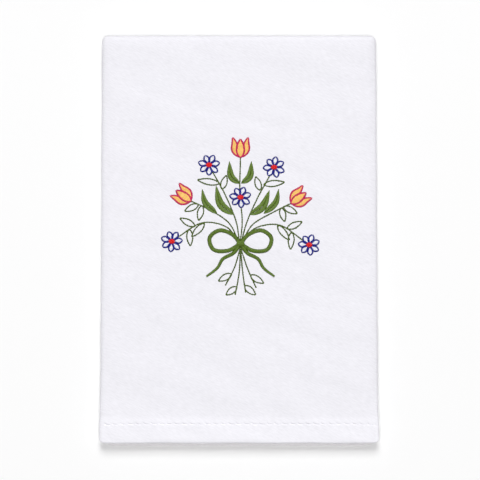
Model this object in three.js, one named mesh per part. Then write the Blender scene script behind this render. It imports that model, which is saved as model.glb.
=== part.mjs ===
// A cotton tea towel, lying flat: folded in thirds along its length, then in half across it.
// Millimetres, +Z up. X runs across the folded towel and Y along it. The crosswise fold is at +Y and
// the hems lie over each other at -Y. The origin is under the middle of the folded towel.
import * as THREE from "three";

const { smoothstep, lerp, clamp } = THREE.MathUtils;

// The cloth as cut and hemmed
const clothWidth = 707;
const clothLength = 710;
const clothThickness = 1;

// The folded stack: three layers in front of the middle gap, and the same three behind it.
// The front half ends a little short of the back half, and the inner layers lie a little further out.
const faceWidth = 237.4;
const innerPanelWidth = 232;
const layerPitch = 1.3;
const middleGap = 0.7;
const frontShort = 2;
const frontSlip = 0.2;
const backSlip = 0.5;

// How much longer than round each fold is, away from the cloth that it joins
const sideStretch = 2.2;
const turnStretch = 1.1;

// How the two halves widen or narrow towards their hems
const frontFlare = 0.5;
const backFlare = -4;
const flareReach = 60;
const hemFlare = 0.45;

// The hem: a band turned under at each end, with one row of stitches that pinches it
const hemDepth = 18;
const hemEase = 5;
const hemExtra = 0.35;
const spreadEase = 24;
const stitchFromEnd = 15.8;
const stitchReach = 2;
const stitchPinch = 0.4;

// How the front half stands off the back half: it is proud in the middle and lies down at its rim
const crownHeight = 3.2;
const crownEaseLeft = 5;
const crownEaseRight = 3.6;
const crownAtFold = 2.9;
const crownEaseFold = 5.5;
const crownDrop = 1.3;
const crestHeight = 1.2;
const crestPlace = 11;
const endDroop = 0.5;
const droopReach = 1.3;

// How much further apart the back half's layers lie at its hem
const backLoft = 0.4;

// How the two side rims of the front half rise and fall along the towel
const liftHeight = 0.3;
const liftLength = 170;
const leftLiftStart = 0.6;
const rightLiftStart = 2.9;

// Rounded corners: how far in from the side they reach, and how far back they draw the cloth
const frontCorner = { reach: 4.5, draw: 2.4 };
const backCorner = { reach: 7, draw: 3.5 };
const foldCorner = { reach: 4.5, draw: 2.4 };
const cornerEase = 10;

// Soft swells and hollows of the front half, in the folded towel's own X and Y
const swells = [
  { x: 100, y: 62, reach: 34, height: -0.35 },
  { x: -78, y: 118, reach: 46, height: 0.3 },
  { x: 64, y: -92, reach: 52, height: 0.3 },
  { x: -52, y: -118, reach: 44, height: -0.25 },
];

// How finely the cloth is drawn: places in from an edge or a fold, and even steps between them
const edgeSteps = [1.5, 3.5, 6.5, 11, 20];
const plainSteps = 4;
const sideFoldSteps = 6;
const crossFoldSteps = 10;
const frontEndSteps = [0, 1.5, 3.5, 7, 11, 13.8, 15.8, 17.8, 20, 23, 29, 38, 47];
const frontPlainSteps = 7;
const frontFoldSteps = [20, 12, 6, 2.5];
const backEndSteps = [0, 7, 13.8, 15.8, 17.8, 20, 23, 35, 47];
const backPlainSteps = 3;
const backFoldSteps = [20, 6];

const towelMaterial = new THREE.MeshStandardMaterial({
  name: "white cotton",
  color: 0xf4f3f9,
  roughness: 0.95,
  metalness: 0,
});

// The length of half an ellipse with these two radii
function halfEllipse(across, along) {
  const roots = Math.sqrt((3 * across + along) * (across + 3 * along));
  return (Math.PI / 2) * (3 * (across + along) - roots);
}

// How far the outermost cloth lies from the middle of the stack in plain cloth, and the innermost in the hem
const outerReach = middleGap / 2 + clothThickness / 2 + 2 * layerPitch;
const innerHemReach = middleGap / 2 + (clothThickness + hemExtra) / 2;

// Lengths of cloth along the towel: round the crosswise fold, in the front half and in the back half
const turnLength = halfEllipse(turnStretch * outerReach, outerReach + crownAtFold / 2);
const frontLength = (clothLength - turnLength - frontShort) / 2;
const backLength = frontLength + frontShort;

// How far the inner layers slip out at the back hem
const endSlip = ((backSlip * (outerReach - innerHemReach)) / layerPitch) * (backLength / frontLength);

// Where the crosswise fold ends, so that Y is centred, and where it starts
const foldEdge = (backLength + endSlip + turnStretch * outerReach + clothThickness / 2) / 2;
const foldLine = foldEdge - turnStretch * outerReach - clothThickness / 2;

// Lengths of cloth across the towel: outer panel, left fold, middle third, right fold and inner panel
const leftFoldLength = halfEllipse(sideStretch * layerPitch, layerPitch);
const rightFoldLength = halfEllipse((sideStretch * layerPitch) / 2, layerPitch / 2);
const middleWidth = faceWidth - 1.5 * sideStretch * layerPitch - clothThickness;
const outerPanelWidth = clothWidth - innerPanelWidth - leftFoldLength - rightFoldLength - middleWidth;

// The places across the cloth where those five start, and its far edge
const leftFoldStart = outerPanelWidth;
const middleStart = leftFoldStart + leftFoldLength;
const rightFoldStart = middleStart + middleWidth;
const innerPanelStart = rightFoldStart + rightFoldLength;

// 1 inside the hem and 0 in plain cloth
function hemShare(fromEnd) {
  return 1 - smoothstep(fromEnd, hemDepth, hemDepth + hemEase);
}

// 1 where the layers lie a hem's thickness further apart, which they do a little before the hem starts
function spreadShare(fromEnd) {
  return 1 - smoothstep(fromEnd, hemDepth + hemEase, hemDepth + hemEase + spreadEase);
}

// How thick the cloth is, how far apart its layers lie, and the height of the stack's middle. In this and
// in what follows, frontShare is 1 on the front half and 0 on the back half.
function stackAt(fromEnd, frontShare) {
  const full = clothThickness + hemExtra * hemShare(fromEnd);
  const pinch = stitchPinch * clamp(1 - Math.abs(fromEnd - stitchFromEnd) / stitchReach, 0, 1);
  const frontPitch = layerPitch + hemExtra * spreadShare(fromEnd);
  const backPitch = frontPitch + backLoft * Math.exp(-fromEnd / flareReach);
  const pitch = lerp(backPitch, frontPitch, frontShare);
  return { full, thickness: full - pinch, pitch, middle: middleGap / 2 + full + 2 * backPitch };
}

// Half the towel's width, this far from its end
function halfWidthAt(fromEnd, frontShare) {
  const flare = lerp(backFlare, frontFlare, frontShare) * Math.exp(-fromEnd / flareReach);
  return faceWidth / 2 + flare + hemFlare * hemShare(fromEnd);
}

// A flat layer of the section: its place across, its distance from the stack's middle, and the way that
// its right side lies off its middle
function flatLayer(x, reach, outReach) {
  return { x, reach, outX: 0, outReach };
}

// A place on a folded side edge, side -1 for the left and 1 for the right, at a turn from 0 at its top.
// Its outer and inner faces are two ellipses, so that the inner face of a tight fold never meets itself.
function sideFold(turn, radius, startX, middleReach, side) {
  return {
    x: startX + side * sideStretch * radius * Math.sin(turn),
    reach: middleReach + radius * Math.cos(turn),
    outX: side * Math.sin(turn),
    outReach: Math.cos(turn),
  };
}

// Where the middle of the cloth lies in the folded thirds, at a place across it
function sectionPlace(across, stack, halfWidth) {
  const outer = middleGap / 2 + stack.full / 2 + 2 * stack.pitch;
  const inner = outer - stack.pitch;
  const wrapped = inner - stack.pitch;
  const leftRadius = (outer - wrapped) / 2;
  const rightRadius = (outer - inner) / 2;
  const left = -halfWidth + sideStretch * leftRadius + stack.full / 2;
  const right = halfWidth - sideStretch * rightRadius - stack.full / 2;
  const stretch = (2 * halfWidth) / faceWidth;
  if (across < leftFoldStart) {
    return flatLayer(left + (leftFoldStart - across) * stretch, wrapped, -1);
  }
  if (across < middleStart) {
    const turn = (Math.PI * (middleStart - across)) / leftFoldLength;
    return sideFold(turn, leftRadius, left, outer - leftRadius, -1);
  }
  if (across < rightFoldStart) {
    return flatLayer(lerp(left, right, (across - middleStart) / middleWidth), outer, 1);
  }
  if (across < innerPanelStart) {
    const turn = (Math.PI * (across - rightFoldStart)) / rightFoldLength;
    return sideFold(turn, rightRadius, right, outer - rightRadius, 1);
  }
  return flatLayer(right - (across - innerPanelStart) * stretch, inner, -1);
}

// The soft height of the front half over the back half
function crownAt(x, y, fromEnd, halfWidth) {
  const rimEase = x < 0 ? crownEaseLeft : crownEaseRight;
  const inward = 1 - Math.exp(-Math.max(halfWidth - Math.abs(x), 0) / rimEase);
  const fromEdge = Math.max(foldEdge - y, 0);
  const atFold = Math.exp(-fromEdge / crownEaseFold);
  const crest = crestHeight * (fromEdge / crestPlace) * Math.exp(1 - fromEdge / crestPlace);
  const thicker = hemExtra * (4 * spreadShare(fromEnd) + hemShare(fromEnd));
  let height = lerp(crownHeight, crownAtFold, atFold) + crest - thicker;
  height -= crownDrop * Math.exp(-fromEnd / flareReach) + endDroop * Math.exp(-fromEnd / droopReach);
  for (const swell of swells) {
    const distance = Math.hypot(x - swell.x, y - swell.y);
    height += swell.height * Math.exp(-((distance / swell.reach) ** 2));
  }
  const liftStart = x < 0 ? leftLiftStart : rightLiftStart;
  const lift = (liftHeight / 2) * (1 + Math.sin((2 * Math.PI * y) / liftLength + liftStart));
  return lerp(lift, height, inward);
}

// How far a rounded corner draws the cloth back, at a distance from its side edge and from its end
function cornerDraw(corner, fromSide, fromCorner) {
  const nearSide = clamp(1 - fromSide / corner.reach, 0, 1);
  const nearEnd = clamp(1 - fromCorner / cornerEase, 0, 1);
  return corner.draw * nearSide ** 2 * nearEnd ** 2;
}

// A station along the cloth: its distances from the nearer end and from the fold, and its turn about the fold
function stationAt(along) {
  const turned = Math.PI * clamp((along - frontLength) / turnLength, 0, 1);
  const frontShare = (1 + Math.cos(turned)) / 2;
  const fromEnd = along < frontLength ? along : Math.min(clothLength - along, backLength);
  const fromFold = Math.max(frontLength - along, 0) + Math.max(along - frontLength - turnLength, 0);
  const stack = stackAt(fromEnd, frontShare);
  return { turned, frontShare, fromEnd, fromFold, stack, halfWidth: halfWidthAt(fromEnd, frontShare) };
}

// A place on the cloth at a station and a place across, on its right side (face 1) or its wrong side (-1)
function clothPlace(station, across, face) {
  const { turned, frontShare, fromEnd, fromFold, stack, halfWidth } = station;
  const point = sectionPlace(across, stack, halfWidth);
  const offset = (face * stack.thickness) / 2;
  const x = point.x + offset * point.outX;
  const facing = Math.hypot(Math.sin(turned), turnStretch * Math.cos(turned));
  const outward = (offset * point.outReach) / facing;
  const fromSide = halfWidth - Math.abs(x);
  const corner = {
    reach: lerp(backCorner.reach, frontCorner.reach, frontShare),
    draw: lerp(backCorner.draw, frontCorner.draw, frontShare),
  };
  const drawn = cornerDraw(corner, fromSide, fromEnd) - cornerDraw(foldCorner, fromSide, fromFold);
  const layerSlip = (lerp(backSlip, frontSlip, frontShare) * fromFold) / frontLength;
  const slip = (layerSlip * (outerReach - point.reach)) / layerPitch;
  const bulge = (turnStretch * point.reach + outward) * Math.sin(turned);
  const y = foldLine - fromFold - slip + bulge + drawn;
  const crown = crownAt(x, y, fromEnd, halfWidth) * frontShare;
  const z = stack.middle + (point.reach + turnStretch * outward) * Math.cos(turned) + crown;
  return [x, y, z];
}

// Evenly spaced places after the first of a stretch, up to but without the last
function evenPlaces(from, to, steps) {
  const places = [];
  for (let i = 1; i < steps; i += 1) {
    places.push(lerp(from, to, i / steps));
  }
  return places;
}

// Places along one flat run across the cloth, with both its ends, closer together near them
function runPlaces(from, to) {
  const lastEdge = edgeSteps.at(-1);
  const near = edgeSteps.map((step) => from + step);
  const far = edgeSteps.map((step) => to - step).reverse();
  return [from, ...near, ...evenPlaces(from + lastEdge, to - lastEdge, plainSteps), ...far, to];
}

// Places across the cloth, from the free edge of the outer panel round both sides to the inner panel's
function placesAcross() {
  return [
    ...runPlaces(0, leftFoldStart),
    ...evenPlaces(leftFoldStart, middleStart, sideFoldSteps),
    ...runPlaces(middleStart, rightFoldStart),
    ...evenPlaces(rightFoldStart, innerPanelStart, sideFoldSteps),
    ...runPlaces(innerPanelStart, clothWidth),
  ];
}

// Places along the cloth, from the front hem up the front, round the crosswise fold and down the back
function placesAlong() {
  const turnEnd = frontLength + turnLength;
  const frontFold = frontFoldSteps.map((step) => frontLength - step);
  const backFold = backFoldSteps.map((step) => turnEnd + step).reverse();
  const backEnd = backEndSteps.map((step) => clothLength - step).reverse();
  return [
    ...frontEndSteps,
    ...evenPlaces(frontEndSteps.at(-1), frontFold[0], frontPlainSteps),
    ...frontFold,
    frontLength,
    ...evenPlaces(frontLength, turnEnd, crossFoldSteps),
    turnEnd,
    ...backFold,
    ...evenPlaces(backFold.at(-1), backEnd[0], backPlainSteps),
    ...backEnd,
  ];
}

// The ring of one station: the cloth's right side, then its wrong side on the way back
function ringAt(along) {
  const station = stationAt(along);
  const rightSide = placesAcross().map((across) => clothPlace(station, across, 1));
  const wrongSide = placesAcross().map((across) => clothPlace(station, across, -1));
  return [...rightSide, ...wrongSide.reverse()];
}

// One closed sheet: rings joined along the cloth, and both hem edges closed
function sheetGeometry(rings) {
  const count = rings[0].length;
  const triangles = [];
  const addQuad = (a, b, c, d) => triangles.push(a, b, c, a, c, d);
  for (let ring = 0; ring + 1 < rings.length; ring += 1) {
    for (let i = 0; i < count; i += 1) {
      const next = (i + 1) % count;
      addQuad(ring * count + i, ring * count + next, (ring + 1) * count + next, (ring + 1) * count + i);
    }
  }
  const lastRing = (rings.length - 1) * count;
  for (let i = 0; i + 1 < count / 2; i += 1) {
    const across = count - 1 - i;
    addQuad(i, across, across - 1, i + 1);
    addQuad(lastRing + i, lastRing + i + 1, lastRing + across - 1, lastRing + across);
  }
  const geometry = new THREE.BufferGeometry();
  geometry.setAttribute("position", new THREE.Float32BufferAttribute(rings.flat(2), 3));
  geometry.setIndex(triangles);
  geometry.computeVertexNormals();
  return geometry;
}

function makeTowel() {
  const towel = new THREE.Mesh(sheetGeometry(placesAlong().map(ringAt)), towelMaterial);
  towel.name = "towel";
  return towel;
}

const foldedTowel = new THREE.Group();
foldedTowel.name = "folded tea towel";
foldedTowel.add(makeTowel());

export default foldedTowel;
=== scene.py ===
"""A folded cotton tea towel: one sheet of cloth in six layers, with a posy in thread on its upper face."""
import math

import bpy
import numpy as np
from mathutils import Matrix, Vector
from mathutils.kdtree import KDTree


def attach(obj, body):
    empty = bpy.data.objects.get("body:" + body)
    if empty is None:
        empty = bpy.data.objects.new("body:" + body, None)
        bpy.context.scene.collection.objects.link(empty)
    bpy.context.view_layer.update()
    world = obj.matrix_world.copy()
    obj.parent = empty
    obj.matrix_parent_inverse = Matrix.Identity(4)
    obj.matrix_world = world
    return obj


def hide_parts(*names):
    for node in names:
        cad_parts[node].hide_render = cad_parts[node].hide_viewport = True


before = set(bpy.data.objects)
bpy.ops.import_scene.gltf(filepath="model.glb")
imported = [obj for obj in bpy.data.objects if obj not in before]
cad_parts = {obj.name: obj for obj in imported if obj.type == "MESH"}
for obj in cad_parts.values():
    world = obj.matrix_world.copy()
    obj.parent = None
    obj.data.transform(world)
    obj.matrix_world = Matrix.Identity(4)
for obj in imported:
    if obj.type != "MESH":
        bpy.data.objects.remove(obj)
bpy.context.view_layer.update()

MM = 0.001
PI = math.pi

# The cloth as cut and hemmed
CLOTH_WIDTH = 707 * MM
CLOTH_LENGTH = 710 * MM
CLOTH_THICKNESS = 1.0 * MM
EDGE_ROUND = 0.6 * MM

# The folded stack: three layers in front of the middle gap and three behind it. The front half is a little
# shorter, and the inner layers slip out at both hems
FACE_WIDTH = 237.4 * MM
INNER_PANEL = 232 * MM
LAYER_PITCH = 1.3 * MM
MIDDLE_GAP = 0.7 * MM
FRONT_SHORT = 2.0 * MM
FRONT_SLIP = 0.2 * MM
BACK_SLIP = 0.5 * MM

# How many times as far as a round fold each side fold and the crosswise fold bulge
SIDE_STRETCH = 2.2
TURN_STRETCH = 1.1

# How the two halves widen or narrow towards their hems
FRONT_FLARE = 0.5 * MM
BACK_FLARE = -4.0 * MM
FLARE_REACH = 60 * MM
HEM_FLARE = 0.45 * MM

# The hem: a thicker band at each end, the layers' spread before it, and one row of stitches that pinches it
HEM_DEPTH = 18 * MM
HEM_EASE = 5 * MM
HEM_EXTRA = 0.35 * MM
SPREAD_EASE = 24 * MM
STITCH_FROM_END = 15.8 * MM
STITCH_REACH = 2 * MM
STITCH_PINCH = 0.4 * MM

# The posy's middle and reach, and how near its stitches the mesh is fine
POSY_X = 1.2 * MM
POSY_Y = 21.3 * MM
POSY_REACH = 82 * MM
SEWN_MARGIN = 5 * MM

# The front half's crown, eased at the left and right sides and at the fold, its drop towards the hem, its
# crest near the fold, and the droop of its end
CROWN_HEIGHT = 3.2 * MM
CROWN_EASES = (5 * MM, 3.6 * MM)
CROWN_AT_FOLD = 2.9 * MM
CROWN_EASE_FOLD = 5.5 * MM
CROWN_DROP = 1.3 * MM
CREST_HEIGHT = 1.2 * MM
CREST_PLACE = 11 * MM
END_DROOP = 0.5 * MM
DROOP_REACH = 1.3 * MM

# How much further apart the back half's layers lie at its hem
BACK_LOFT = 0.4 * MM

# How the front half's side rims rise and fall along the towel
LIFT_HEIGHT = 0.3 * MM
LIFT_LENGTH = 170 * MM
LIFT_STARTS = (0.6, 2.9)

# Rounded corners: how far in from the side they reach, and how far back they draw the cloth
FRONT_CORNER = (4.5 * MM, 2.4 * MM)
BACK_CORNER = (7 * MM, 3.5 * MM)
FOLD_CORNER = (4.5 * MM, 2.4 * MM)
CORNER_EASE = 10 * MM

# How the edges wander: how far and over what length, where this starts on the left and the right, and how
# steeply it grows towards both sides
SIDE_WANDER = (0.12 * MM, 74 * MM)
END_WANDER = (0.15 * MM, 61 * MM)
WANDER_STARTS = (0.4, 2.2)
WANDER_POWER = 5

# Swells and hollows of the front half: x, y, reach and height
SWELLS = (
    (100 * MM, 62 * MM, 34 * MM, -0.35 * MM),
    (-78 * MM, 118 * MM, 46 * MM, 0.3 * MM),
    (64 * MM, -92 * MM, 52 * MM, 0.3 * MM),
    (-52 * MM, -118 * MM, 44 * MM, -0.25 * MM),
)


def half_ellipse(across, along):
    """The length of half an ellipse with these two radii."""
    return PI / 2 * (3 * (across + along) - math.sqrt((3 * across + along) * (across + 3 * along)))


# How far the outer cloth lies from the stack's middle, and the lengths of the crosswise fold and both halves
OUTER_REACH = MIDDLE_GAP / 2 + CLOTH_THICKNESS / 2 + 2 * LAYER_PITCH
TURN = half_ellipse(TURN_STRETCH * OUTER_REACH, OUTER_REACH + CROWN_AT_FOLD / 2)
FRONT_LENGTH = (CLOTH_LENGTH - TURN - FRONT_SHORT) / 2
BACK_LENGTH = FRONT_LENGTH + FRONT_SHORT

# How far the inner layers slip out at the back hem, and where the crosswise fold ends and starts in y
INNER_HEM_REACH = MIDDLE_GAP / 2 + (CLOTH_THICKNESS + HEM_EXTRA) / 2
END_SLIP = BACK_SLIP * (OUTER_REACH - INNER_HEM_REACH) / LAYER_PITCH * BACK_LENGTH / FRONT_LENGTH
FOLD_EDGE = (BACK_LENGTH + END_SLIP + TURN_STRETCH * OUTER_REACH + CLOTH_THICKNESS / 2) / 2
FOLD_LINE = FOLD_EDGE - TURN_STRETCH * OUTER_REACH - CLOTH_THICKNESS / 2

# The side folds' radii and lengths, the panels' widths, and where these five start and end
LEFT_RADIUS = LAYER_PITCH
RIGHT_RADIUS = LAYER_PITCH / 2
LEFT_FOLD = half_ellipse(SIDE_STRETCH * LEFT_RADIUS, LEFT_RADIUS)
RIGHT_FOLD = half_ellipse(SIDE_STRETCH * RIGHT_RADIUS, RIGHT_RADIUS)
MIDDLE_WIDTH = FACE_WIDTH - SIDE_STRETCH * (LEFT_RADIUS + RIGHT_RADIUS) - CLOTH_THICKNESS
OUTER_PANEL = CLOTH_WIDTH - INNER_PANEL - LEFT_FOLD - RIGHT_FOLD - MIDDLE_WIDTH
FOLDS_U = np.cumsum([0, OUTER_PANEL, LEFT_FOLD, MIDDLE_WIDTH, RIGHT_FOLD, INNER_PANEL])

# The posy's middle, across the cloth and along it
MIDDLE_START_X = -FACE_WIDTH / 2 + SIDE_STRETCH * LEFT_RADIUS + CLOTH_THICKNESS / 2
POSY_U = FOLDS_U[2] + POSY_X - MIDDLE_START_X
POSY_W = FRONT_LENGTH - FOLD_LINE + POSY_Y


def ease(value, start, end):
    """0 at start and 1 at end, and smooth between them."""
    share = np.clip((value - start) / (end - start), 0.0, 1.0)
    return share * share * (3.0 - 2.0 * share)


def unit(vectors):
    """The same directions with length 1."""
    return vectors / np.linalg.norm(vectors, axis=-1, keepdims=True)


# The towel's folded form


def hem_share(from_end):
    """1 inside the hem and 0 in plain cloth."""
    return 1.0 - ease(from_end, HEM_DEPTH, HEM_DEPTH + HEM_EASE)


def spread_share(from_end):
    """1 where the layers lie further apart, from a little before the hem on."""
    return 1.0 - ease(from_end, HEM_DEPTH + HEM_EASE, HEM_DEPTH + HEM_EASE + SPREAD_EASE)


def half_width_at(from_end, front_share):
    """Half the towel's width, this far from its end; front_share is 1 on the front half, 0 on the back."""
    flare = BACK_FLARE + (FRONT_FLARE - BACK_FLARE) * front_share
    return FACE_WIDTH / 2 + flare * np.exp(-from_end / FLARE_REACH) + HEM_FLARE * hem_share(from_end)


def round_fold(turn, radius):
    """A side fold at a turn from 0 to pi: its bulge, its height, and how both grow towards its outer face.

    Its faces are two ellipses, so that a tight fold never cuts through itself.
    """
    return SIDE_STRETCH * radius * np.sin(turn), radius * np.cos(turn), np.sin(turn), np.cos(turn)


def section_place(u, full, pitch, half_width):
    """Where the cloth at u lies in the folded thirds, and which way its right side faces there.

    Both are an x and a distance from the stack's middle.
    """
    outer = MIDDLE_GAP / 2 + full / 2 + 2 * pitch
    inner = outer - pitch
    wrapped = inner - pitch
    left_radius = (outer - wrapped) / 2
    right_radius = (outer - inner) / 2
    left = -half_width + SIDE_STRETCH * left_radius + full / 2
    right = half_width - SIDE_STRETCH * right_radius - full / 2
    stretch = 2 * half_width / FACE_WIDTH
    shares = [np.clip((u - start) / (end - start), 0, 1) for start, end in zip(FOLDS_U, FOLDS_U[1:])]
    left_bulge, left_rise, left_out, left_up = round_fold(PI * (1 - shares[1]), left_radius)
    right_bulge, right_rise, right_out, right_up = round_fold(PI * shares[3], right_radius)
    outer_panel = left + (FOLDS_U[1] - u) * stretch
    middle = left + shares[2] * (right - left)
    inner_panel = right - (u - FOLDS_U[4]) * stretch
    zone = np.clip(np.searchsorted(FOLDS_U, u, side="right") - 1, 0, 4)
    x = np.choose(zone, [outer_panel, left - left_bulge, middle, right + right_bulge, inner_panel])
    left_reach = outer - left_radius + left_rise
    right_reach = outer - right_radius + right_rise
    reach = np.choose(zone, [wrapped, left_reach, outer, right_reach, inner])
    nothing = np.zeros_like(u)
    out_x = np.choose(zone, [nothing, -left_out, nothing, right_out, nothing])
    out_reach = np.choose(zone, [nothing - 1, left_up, nothing + 1, right_up, nothing - 1])
    return x, reach, out_x, out_reach


def crown_at(x, y, from_end, half_width):
    """The soft height of the front half over the back half."""
    rim_ease = np.where(x < 0, *CROWN_EASES)
    across = 1 - np.exp(-np.maximum(half_width - np.abs(x), 0) / rim_ease)
    from_edge = np.maximum(FOLD_EDGE - y, 0)
    height = CROWN_HEIGHT - (CROWN_HEIGHT - CROWN_AT_FOLD) * np.exp(-from_edge / CROWN_EASE_FOLD)
    crest = CREST_HEIGHT * from_edge / CREST_PLACE * np.exp(1 - from_edge / CREST_PLACE)
    # Room for the hem, where four steps between layers and the cloth itself are thicker
    thicker = HEM_EXTRA * (4 * spread_share(from_end) + hem_share(from_end))
    drop = CROWN_DROP * np.exp(-from_end / FLARE_REACH) + END_DROOP * np.exp(-from_end / DROOP_REACH)
    height = height + crest - thicker - drop
    for swell_x, swell_y, reach, rise in SWELLS:
        height = height + rise * np.exp(-((x - swell_x) ** 2 + (y - swell_y) ** 2) / reach**2)
    lift = LIFT_HEIGHT * (1 + np.sin(2 * PI * y / LIFT_LENGTH + np.where(x < 0, *LIFT_STARTS))) / 2
    return height * across + lift * (1 - across)


def corner_draw(reach, draw, from_side, from_corner):
    """How far a rounded corner draws the cloth back."""
    near_side = np.clip(1 - from_side / reach, 0, 1)
    near_end = np.clip(1 - from_corner / CORNER_EASE, 0, 1)
    return draw * near_side**2 * near_end**2


def place(u, w, face):
    """The cloth at u across it and w along it, on its right side (face 1), wrong side (-1) or middle (0)."""
    turned = PI * np.clip((w - FRONT_LENGTH) / TURN, 0, 1)
    front_share = (1 + np.cos(turned)) / 2
    from_end = np.where(w < FRONT_LENGTH, w, np.minimum(CLOTH_LENGTH - w, BACK_LENGTH))
    from_fold = np.maximum(FRONT_LENGTH - w, 0) + np.maximum(w - FRONT_LENGTH - TURN, 0)
    full = CLOTH_THICKNESS + HEM_EXTRA * hem_share(from_end)
    back_loft = BACK_LOFT * np.exp(-from_end / FLARE_REACH)
    pitch = LAYER_PITCH + HEM_EXTRA * spread_share(from_end) + back_loft * (1 - front_share)
    middle = MIDDLE_GAP / 2 + full + 2 * (pitch + back_loft * front_share)
    half_width = half_width_at(from_end, front_share)
    x, reach, out_x, out_reach = section_place(u, full, pitch, half_width)
    pinch = STITCH_PINCH * np.clip(1 - np.abs(from_end - STITCH_FROM_END) / STITCH_REACH, 0, 1)
    rim = np.minimum(np.minimum(w, CLOTH_LENGTH - w), np.minimum(u, CLOTH_WIDTH - u))
    rounding = np.sqrt(np.clip(1 - (1 - np.minimum(rim / EDGE_ROUND, 1)) ** 2, 0, 1))
    offset = face * (full - pinch) / 2 * rounding
    face_x = x + offset * out_x
    facing = np.hypot(np.sin(turned), TURN_STRETCH * np.cos(turned))
    from_side = half_width - np.abs(face_x)
    corner_reach = BACK_CORNER[0] + (FRONT_CORNER[0] - BACK_CORNER[0]) * front_share
    corner_back = BACK_CORNER[1] + (FRONT_CORNER[1] - BACK_CORNER[1]) * front_share
    drawn_up = corner_draw(corner_reach, corner_back, from_side, from_end)
    drawn_down = corner_draw(*FOLD_CORNER, from_side, from_fold)
    slip = BACK_SLIP + (FRONT_SLIP - BACK_SLIP) * front_share
    slip = slip * (OUTER_REACH - reach) / LAYER_PITCH * from_fold / FRONT_LENGTH
    y = FOLD_LINE - from_fold - slip + (TURN_STRETCH * reach + offset * out_reach / facing) * np.sin(turned)
    y = y + drawn_up - drawn_down
    z = middle + (reach + TURN_STRETCH * offset * out_reach / facing) * np.cos(turned)
    z = z + crown_at(face_x, y, from_end, half_width) * front_share
    side_start = np.where(face_x < 0, *WANDER_STARTS) + front_share
    side_wander = np.sin(2 * PI * y / SIDE_WANDER[1] + side_start) * (face_x / half_width) ** WANDER_POWER
    end_wander = np.sin(2 * PI * face_x / END_WANDER[1] + 2 * front_share) * np.exp(-from_end / CORNER_EASE)
    return np.stack([face_x + SIDE_WANDER[0] * side_wander, y + END_WANDER[0] * end_wander, z], axis=-1)


# The upper face's low relief

# How it fades towards the folds and the end, and the share of the hem's pinch that it makes up for
RELIEF_EASE = 5 * MM
PINCH_EASED = 0.95

# The waves: how many and how long, how steep each is, how high they rise in all, and the way they run
WAVE_SEED = 11
WAVE_COUNT = 23
WAVE_SHORTEST = 12 * MM
WAVE_LONGEST = 60 * MM
WAVE_SLOPE = 0.016
WAVE_LIMIT = 0.4 * MM
WAVE_ANGLE = math.radians(63)
WAVE_SPREAD = math.radians(18)

# The grooves of the hem's stitches: their spacing, length, start, depth and width, how their ends fade, how
# they lean out of their row at first, and how the row sags towards both sides
MARK_PITCH = 6.59 * MM
MARK_LENGTH = 4.9 * MM
MARK_START = 0.2 * MM
MARK_DEPTH = 0.75 * MM
MARK_WIDTH = 0.5 * MM
MARK_FADES = (0.5 * MM, 0.4 * MM)
MARK_LEAN = 1.6 * MM
MARK_LEAN_REACH = 0.9 * MM
MARK_SAG = 0.9 * MM
MARK_SAG_REACH = 25 * MM

# The pillows between the stitches
PILLOW_HEIGHT = 0.32 * MM
PILLOW_REACH = 4 * MM
PILLOW_PLACE = 3 * MM

# The dents round the posy's stitches
DENT_DEPTH = 0.12 * MM
DENT_REACH = 1.2 * MM


def soft_waves(u, w):
    """Many faint ripples, most of them down to the right."""
    rng = np.random.default_rng(WAVE_SEED)
    height = np.zeros(np.shape(u))
    for length in np.geomspace(WAVE_SHORTEST, WAVE_LONGEST, WAVE_COUNT):
        angle = WAVE_ANGLE + WAVE_SPREAD * rng.normal()
        along = u * math.cos(angle) + w * math.sin(angle)
        wave = np.sin(2 * PI * (along / length + rng.uniform()))
        height = height + WAVE_SLOPE * length / (2 * PI) * wave
    return WAVE_LIMIT * np.tanh(height / WAVE_LIMIT)


def stitch_row(u):
    """The front hem's row of stitches, as places along the cloth."""
    from_side = np.minimum(u - FOLDS_U[2], FOLDS_U[3] - u)
    return STITCH_FROM_END - MARK_SAG * np.clip(1 - from_side / MARK_SAG_REACH, 0, 1) ** 2


def mark_lean(along):
    """How far above its row a stitch lies, this far along it."""
    return MARK_LEAN * np.exp(-along / MARK_LEAN_REACH)


def stitch_marks(u, w):
    """The groove that each stitch pulls in the cloth, and the pillows between the stitches."""
    along = np.mod(u - FOLDS_U[2] - MARK_START, MARK_PITCH)
    above = w - stitch_row(u)
    starting = ease(along, 0, MARK_FADES[0])
    ending = ease(along, MARK_LENGTH + MARK_FADES[1], MARK_LENGTH - MARK_FADES[1])
    groove = starting * ending * np.exp(-(((above - mark_lean(along)) / MARK_WIDTH) ** 2))
    swell = 0.5 + 0.5 * np.cos(2 * PI * (along - PILLOW_PLACE + above / 2) / MARK_PITCH)
    pillow = swell * np.exp(-np.abs(above) / PILLOW_REACH)
    return PILLOW_HEIGHT * pillow - MARK_DEPTH * groove


def face_relief(u, w):
    """How far the upper face stands off its plain form, apart from the posy's dents."""
    inward = ease(u, FOLDS_U[2], FOLDS_U[2] + RELIEF_EASE) * ease(u, FOLDS_U[3], FOLDS_U[3] - RELIEF_EASE)
    on_front = ease(w, FRONT_LENGTH, FRONT_LENGTH - 2 * RELIEF_EASE) * ease(w, 0, RELIEF_EASE / 2)
    in_third = (u > FOLDS_U[2]) & (u < FOLDS_U[3])
    pinch = STITCH_PINCH / 2 * PINCH_EASED * np.clip(1 - np.abs(w - STITCH_FROM_END) / STITCH_REACH, 0, 1)
    return on_front * (inward * (soft_waves(u, w) + pinch) + in_third * stitch_marks(u, w))


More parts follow.
